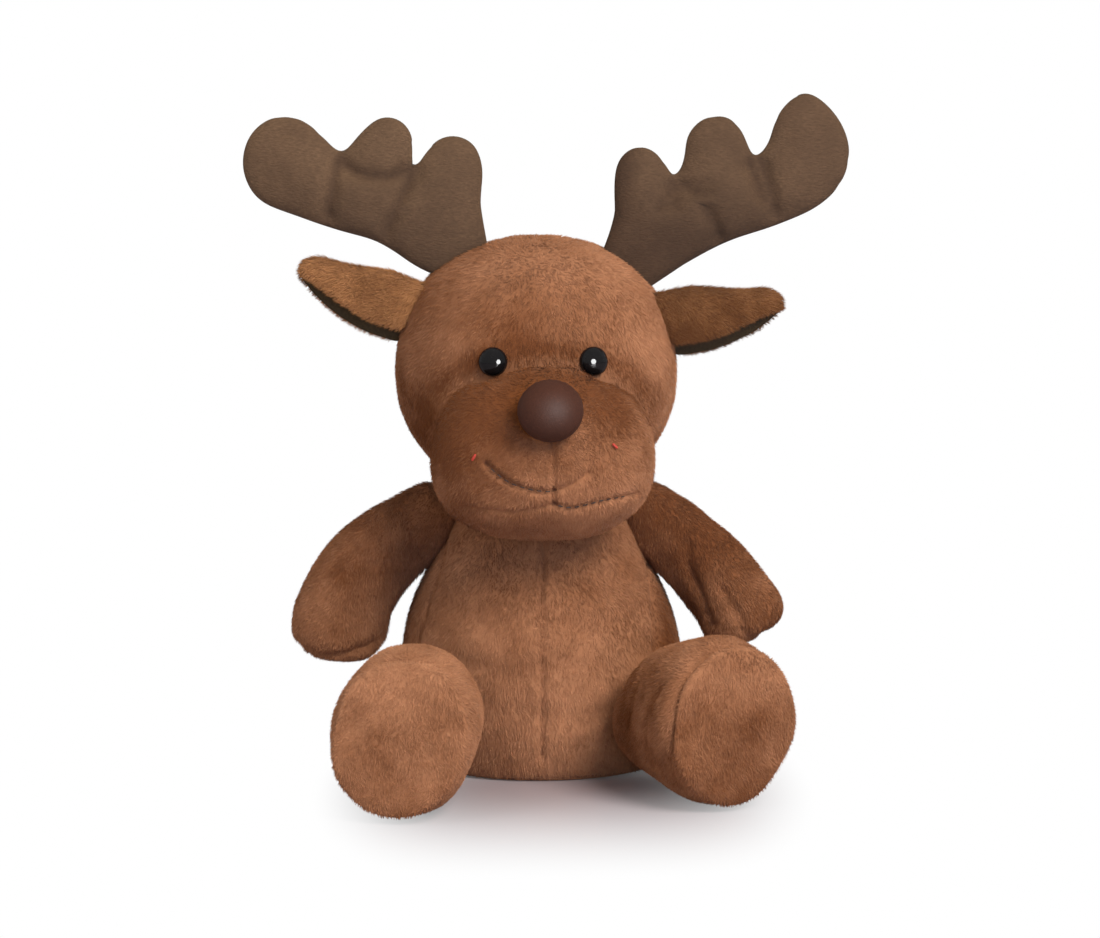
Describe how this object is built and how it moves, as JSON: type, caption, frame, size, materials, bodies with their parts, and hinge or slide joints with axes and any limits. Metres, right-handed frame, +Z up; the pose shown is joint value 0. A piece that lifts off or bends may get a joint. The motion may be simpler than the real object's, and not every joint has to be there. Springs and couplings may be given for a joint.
{
  "type": "plush deer",
  "caption": "Seated plush deer with a big soft muzzle, folded ears, stuffed antlers and limbs that swing from sewn seams.",
  "frame": {"origin": "middle of the flat seat panel under the torso, on the surface that the toy sits on", "axes": "+Z up; the toy faces -Y, with its right side at -X and its left side at +X"},
  "size_m": [0.2538, 0.2013, 0.2838],
  "materials": {
    "plush": "short dense pile, matt",
    "ear_plush": "short dense pile, matt",
    "antler_velour": "very short velour pile, matt",
    "ear_lining": "smooth knit, matt",
    "nose_velvet": "velvet, matt",
    "eye_plastic": "polished",
    "washer_plastic": "moulded, matt",
    "fibre_stuffing": "packed polyester fibre",
    "pellet_bag": "plain woven bag"
  },
  "bodies": {
    "torso": {"torso": "plush", "seat_panel": "plush", "pellet_bag": "pellet_bag"},
    "neck": {"neck_stuffing": "fibre_stuffing"},
    "head": {"head": "plush", "muzzle": "plush", "nose": "nose_velvet", "eye_right": "eye_plastic", "eye_left": "eye_plastic", "eye_washer_right": "washer_plastic", "eye_washer_left": "washer_plastic"},
    "ear_right": {"ear_right_outer": "ear_plush", "ear_right_lining": "ear_lining"},
    "ear_left": {"ear_left_outer": "ear_plush", "ear_left_lining": "ear_lining"},
    "antler_right": {"antler_right": "antler_velour"},
    "antler_left": {"antler_left": "antler_velour"},
    "arm_right": {"arm_right": "plush"},
    "arm_left": {"arm_left": "plush"},
    "leg_right": {"leg_right": "plush", "sole_right": "plush"},
    "leg_left": {"leg_left": "plush", "sole_left": "plush"},
    "tail": {"tail": "plush"}
  },
  "joints": [
    {"name": "head_turn", "type": "hinge", "parent": "torso", "child": "neck", "pos_m": [0, 0, 0.106], "axis": [0, 0, 1], "range_deg": [-22, 22], "stiffness_Nm_per_rad": 2},
    {"name": "head_nod", "type": "hinge", "parent": "neck", "child": "head", "pos_m": [0, 0, 0.106], "axis": [1, 0, 0], "range_deg": [-10, 6], "stiffness_Nm_per_rad": 2},
    {"name": "arm_right_swing", "type": "hinge", "parent": "torso", "child": "arm_right", "pos_m": [-0.04, 0, 0.107], "axis": [0.834, 0, -0.5518], "range_deg": [-40, 20], "stiffness_Nm_per_rad": 0.5},
    {"name": "arm_left_swing", "type": "hinge", "parent": "torso", "child": "arm_left", "pos_m": [0.04, 0, 0.107], "axis": [0.834, 0, 0.5518], "range_deg": [-40, 20], "stiffness_Nm_per_rad": 0.5},
    {"name": "leg_right_lift", "type": "hinge", "parent": "torso", "child": "leg_right", "pos_m": [-0.04379, -0.0211, 0.0285], "axis": [-0.9925, 0.1219, 0], "range_deg": [-8, 26], "stiffness_Nm_per_rad": 1},
    {"name": "leg_left_lift", "type": "hinge", "parent": "torso", "child": "leg_left", "pos_m": [0.03936, -0.02242, 0.0285], "axis": [-0.8988, -0.4384, 0], "range_deg": [-8, 26], "stiffness_Nm_per_rad": 1},
    {"name": "ear_right_fold", "type": "hinge", "parent": "head", "child": "ear_right", "pos_m": [-0.05941, -0.008, 0.19543], "axis": [0.309, 0, 0.9511], "range_deg": [-22, 22], "stiffness_Nm_per_rad": 0.05},
    {"name": "ear_left_fold", "type": "hinge", "parent": "head", "child": "ear_left", "pos_m": [0.05672, -0.008, 0.1898], "axis": [0.1045, 0, -0.9945], "range_deg": [-22, 22], "stiffness_Nm_per_rad": 0.05},
    {"name": "antler_right_bend", "type": "hinge", "parent": "head", "child": "antler_right", "pos_m": [-0.03831, -0.004, 0.22643], "axis": [0.8809, 0, 0.4733], "range_deg": [-20, 20], "stiffness_Nm_per_rad": 0.5},
    {"name": "antler_left_bend", "type": "hinge", "parent": "head", "child": "antler_left", "pos_m": [0.0421, -0.004, 0.22082], "axis": [0.7873, 0, -0.6166], "range_deg": [-20, 20], "stiffness_Nm_per_rad": 0.5},
    {"name": "tail_flop", "type": "hinge", "parent": "torso", "child": "tail", "pos_m": [0, 0.05001, 0.034], "axis": [1, 0, 0], "range_deg": [-20, 20], "stiffness_Nm_per_rad": 0.02}
  ]
}
